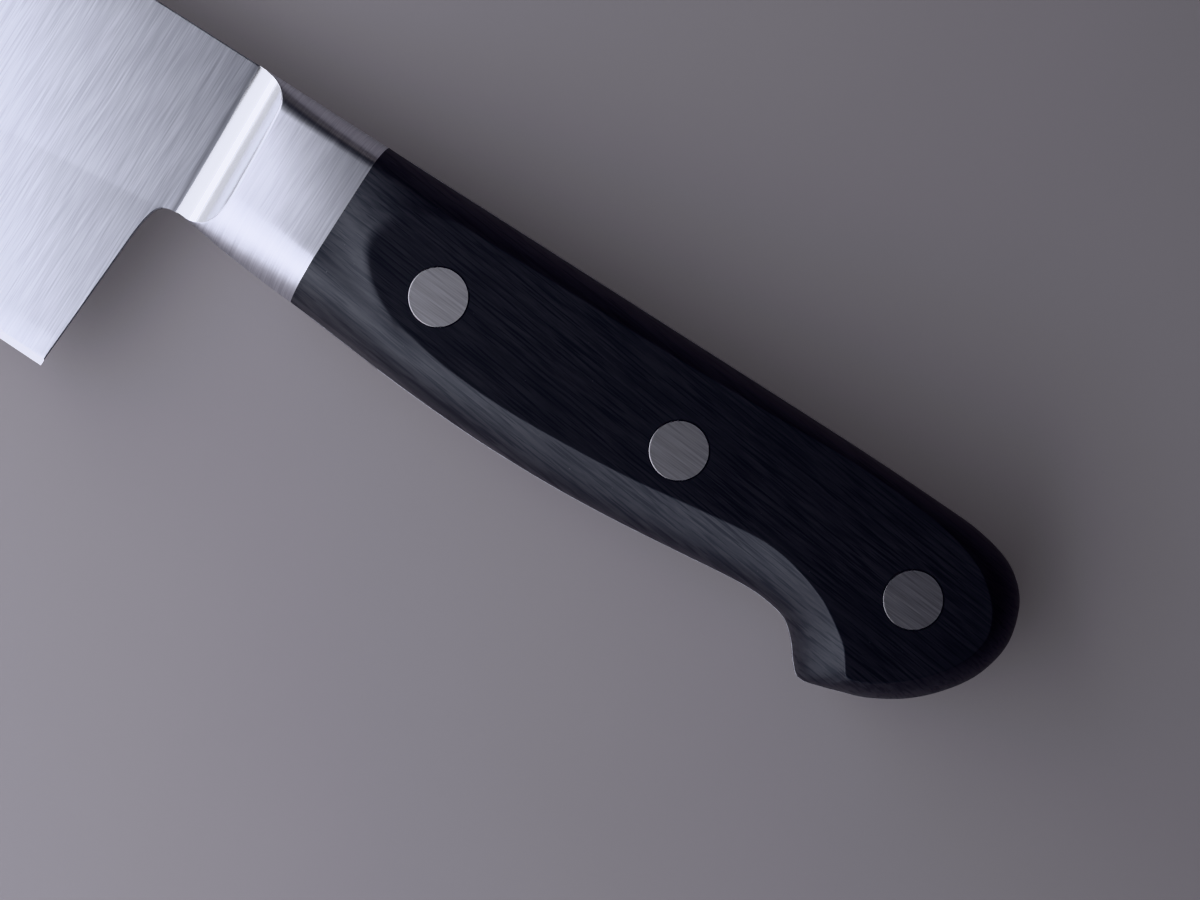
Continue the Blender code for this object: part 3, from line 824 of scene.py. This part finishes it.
def floor_material():
    """Pale light table: frosted sheet with a faint glow that lifts the shadow."""
    nodes = Nodes("floor_frosted")
    cloud = nodes.stretched((9.0, 9.0, 9.0), 4.0, 0.6)
    color = nodes.blend(cloud, (0.275, 0.258, 0.270), (0.305, 0.286, 0.299))
    nodes.join(color, nodes.shader.inputs["Base Color"])
    nodes.join(color, nodes.shader.inputs["Emission Color"])
    nodes.shader.inputs["Emission Strength"].default_value = 0.22
    nodes.shader.inputs["Roughness"].default_value = 0.8
    nodes.bump(nodes.stretched((1500.0, 1500.0, 1500.0), 3.0, 0.6), 0.01)
    return nodes.material


# ----------------------------------------------------------- floor and camera

def add_floor():
    """Large plain floor just under the knife."""
    mesh = bpy.data.meshes.new("floor")
    bm = bmesh.new()
    bmesh.ops.create_grid(bm, x_segments=1, y_segments=1, size=FLOOR_HALF)
    bm.to_mesh(mesh)
    bm.free()
    mesh.materials.append(floor_material())
    floor = bpy.data.objects.new("floor", mesh)
    floor.location = (0.0, 0.0, cad_box[0].z - FLOOR_GAP)
    bpy.context.scene.collection.objects.link(floor)


def add_camera():
    """Camera straight above the handle."""
    data = bpy.data.cameras.new("camera")
    data.lens = CAMERA_LENS
    data.sensor_width = 36.0
    data.clip_start = 0.01
    camera = bpy.data.objects.new("camera", data)
    aim_x = JOINT.x + CAMERA_AIM[0] * MM
    aim_y = JOINT.y + CAMERA_AIM[1] * MM
    camera.location = (aim_x, aim_y, MID_Z + CAMERA_HEIGHT)
    camera.rotation_euler = (0.0, 0.0, CAMERA_TURN)
    bpy.context.scene.collection.objects.link(camera)
    bpy.context.scene.camera = camera


def softbox(name, bearing, near, far, width, radiance, color):
    """Area light slanting from its near to its far edge, facing the knife.

    The edges are (distance, height) in metres from the front of the bolster,
    out along a bearing turned from +X toward +Y.
    """
    data = bpy.data.lights.new(name, "AREA")
    data.shape = "RECTANGLE"
    data.size = width
    data.size_y = math.dist(near, far)
    data.energy = radiance * math.pi * data.size * data.size_y
    data.color = color
    light = bpy.data.objects.new(name, data)
    out = Vector((math.cos(math.radians(bearing)), math.sin(math.radians(bearing)), 0.0))
    up = Vector((0.0, 0.0, 1.0))
    inward = (out * (near[0] - far[0]) + up * (near[1] - far[1])).normalized()
    across = up.cross(out)
    away = across.cross(inward)
    light.rotation_euler = Matrix((across, inward, away)).transposed().to_euler()
    foot = Vector((JOINT.x + LIGHT_FOOT[0] * MM, JOINT.y + LIGHT_FOOT[1] * MM, MID_Z))
    light.location = foot + out * (near[0] + far[0]) / 2 + up * (near[1] + far[1]) / 2
    bpy.context.scene.collection.objects.link(light)


# ----------------------------------------------------------------- build it all

# The blade's steel carries the painted shade along the bolster's toe
blade_steel = brushed_steel(
    "blade_brushed", (0.60, 0.61, 0.66), (0.82, 0.83, 0.88), 0.30, "Y", 0.6, corner=True
)
edge_steel = polished_steel("edge_honed", (0.60, 0.60, 0.62), (0.70, 0.70, 0.72), 0.16)
rim_steel = polished_steel("rim_ground", (0.50, 0.50, 0.53), (0.60, 0.60, 0.63), 0.26)
bolster_steel = brushed_steel(
    "bolster_brushed", (0.61, 0.615, 0.66), (0.79, 0.795, 0.84), 0.34, "Y", 0.4
)
neck_steel = polished_steel("neck_polished", (0.61, 0.61, 0.61), (0.66, 0.66, 0.66), 0.15)
rivet_steel = brushed_steel(
    "rivet_brushed", (0.59, 0.575, 0.59), (0.80, 0.785, 0.81), 0.37, "X", 0.7, -4.0
)
rivet_rim = polished_steel("rivet_rim", (0.42, 0.41, 0.42), (0.50, 0.49, 0.50), 0.26)
wood = black_wood("handle_wood_grain")

blade = build_blade([blade_steel, edge_steel, rim_steel])
stand_for(blade, "blade_steel", "blade")
for name, side in (("bolster_left", 1), ("bolster_right", -1)):
    piece = build_bolster(name + "_cheek", side, [bolster_steel, neck_steel])
    stand_for(piece, "bolster_steel", name)

scales = {}
for name, side in (("scale_left", 1), ("scale_right", -1)):
    scales[side] = build_scale(name + "_wood", side, wood)

cutters = []
for place in ("front", "middle", "rear"):
    lo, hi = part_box("rivet_" + place + "_female")
    centre = ((lo.x + hi.x) / 2, (lo.y + hi.y) / 2, MID_Z)
    for kind, side in (("female", 1), ("male", -1)):
        rivet = "rivet_" + place + "_" + kind
        head = build_rivet_head(rivet + "_head", centre, side, rivet_steel, rivet_rim)
        stand_for(head, "rivet_steel", rivet)
        recess = "recess_" + place + "_" + kind
        cutters.append(cut_recess(scales[side], recess, centre, side, wood))

for name, side in (("scale_left", 1), ("scale_right", -1)):
    bake(scales[side])
    stand_for(scales[side], "handle_wood", name)
for cutter in cutters:
    bpy.data.objects.remove(cutter, do_unlink=True)

add_floor()
add_camera()

# A large slanted softbox low beside the knife, brightest in its lower half,
# with a dimmer skirt down to the floor, and a weak strip opposite
softbox("key_softbox", 45.0, (0.064, 0.25), (0.268, 0.1425), 1.2, 1.65, (0.93, 0.945, 1.06))
softbox("key_core", 45.0, (0.175, 0.188), (0.266, 0.140), 1.2, 1.5, (0.94, 0.95, 1.05))
softbox("key_skirt", 45.0, (0.268, 0.1425), (0.95, -0.006), 2.1, 1.0, (0.93, 0.945, 1.06))
softbox("fill_strip", 255.0, (0.58, 0.24), (0.62, 0.12), 0.9, 0.2, (1.0, 0.90, 0.90))

# Dark room round them
world = bpy.data.worlds.new("studio")
world.use_nodes = True
background = world.node_tree.nodes["Background"]
background.inputs["Color"].default_value = (0.90, 0.92, 1.0, 1.0)
background.inputs["Strength"].default_value = 0.03
bpy.context.scene.world = world
bpy.context.scene.view_settings.view_transform = "Khronos PBR Neutral"
